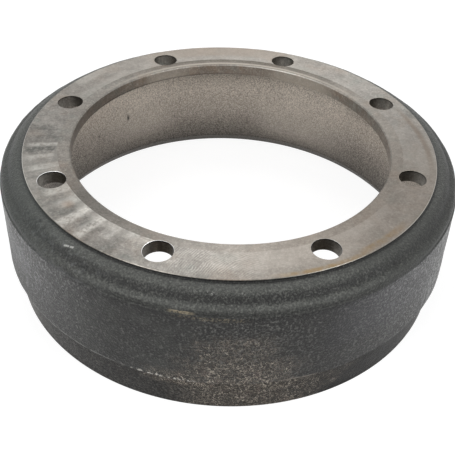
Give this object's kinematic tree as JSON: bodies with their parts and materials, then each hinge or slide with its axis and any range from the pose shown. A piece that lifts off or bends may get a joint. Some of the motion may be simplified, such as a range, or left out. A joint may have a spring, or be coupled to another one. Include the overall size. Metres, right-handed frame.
{
  "type": "brake drum",
  "caption": "Cast iron brake drum: a deep open ring with a turned mounting flange, a wide pilot bore, a circle of bolt holes and a stepped outer rim.",
  "frame": {"origin": "centre of the open rim's face, on the drum's axis", "axes": "+Z along the drum's axis, out of the mounting flange; a bolt hole lies 22.5 degrees from +X towards +Y"},
  "size_m": [0.4239, 0.424, 0.127],
  "materials": {
    "grey_iron": "as-cast dark grey skin outside, turned bright on the mounting face, pilot bore and friction surface"
  },
  "bodies": {
    "root": {"brake_drum": "grey_iron"}
  },
  "joints": []
}
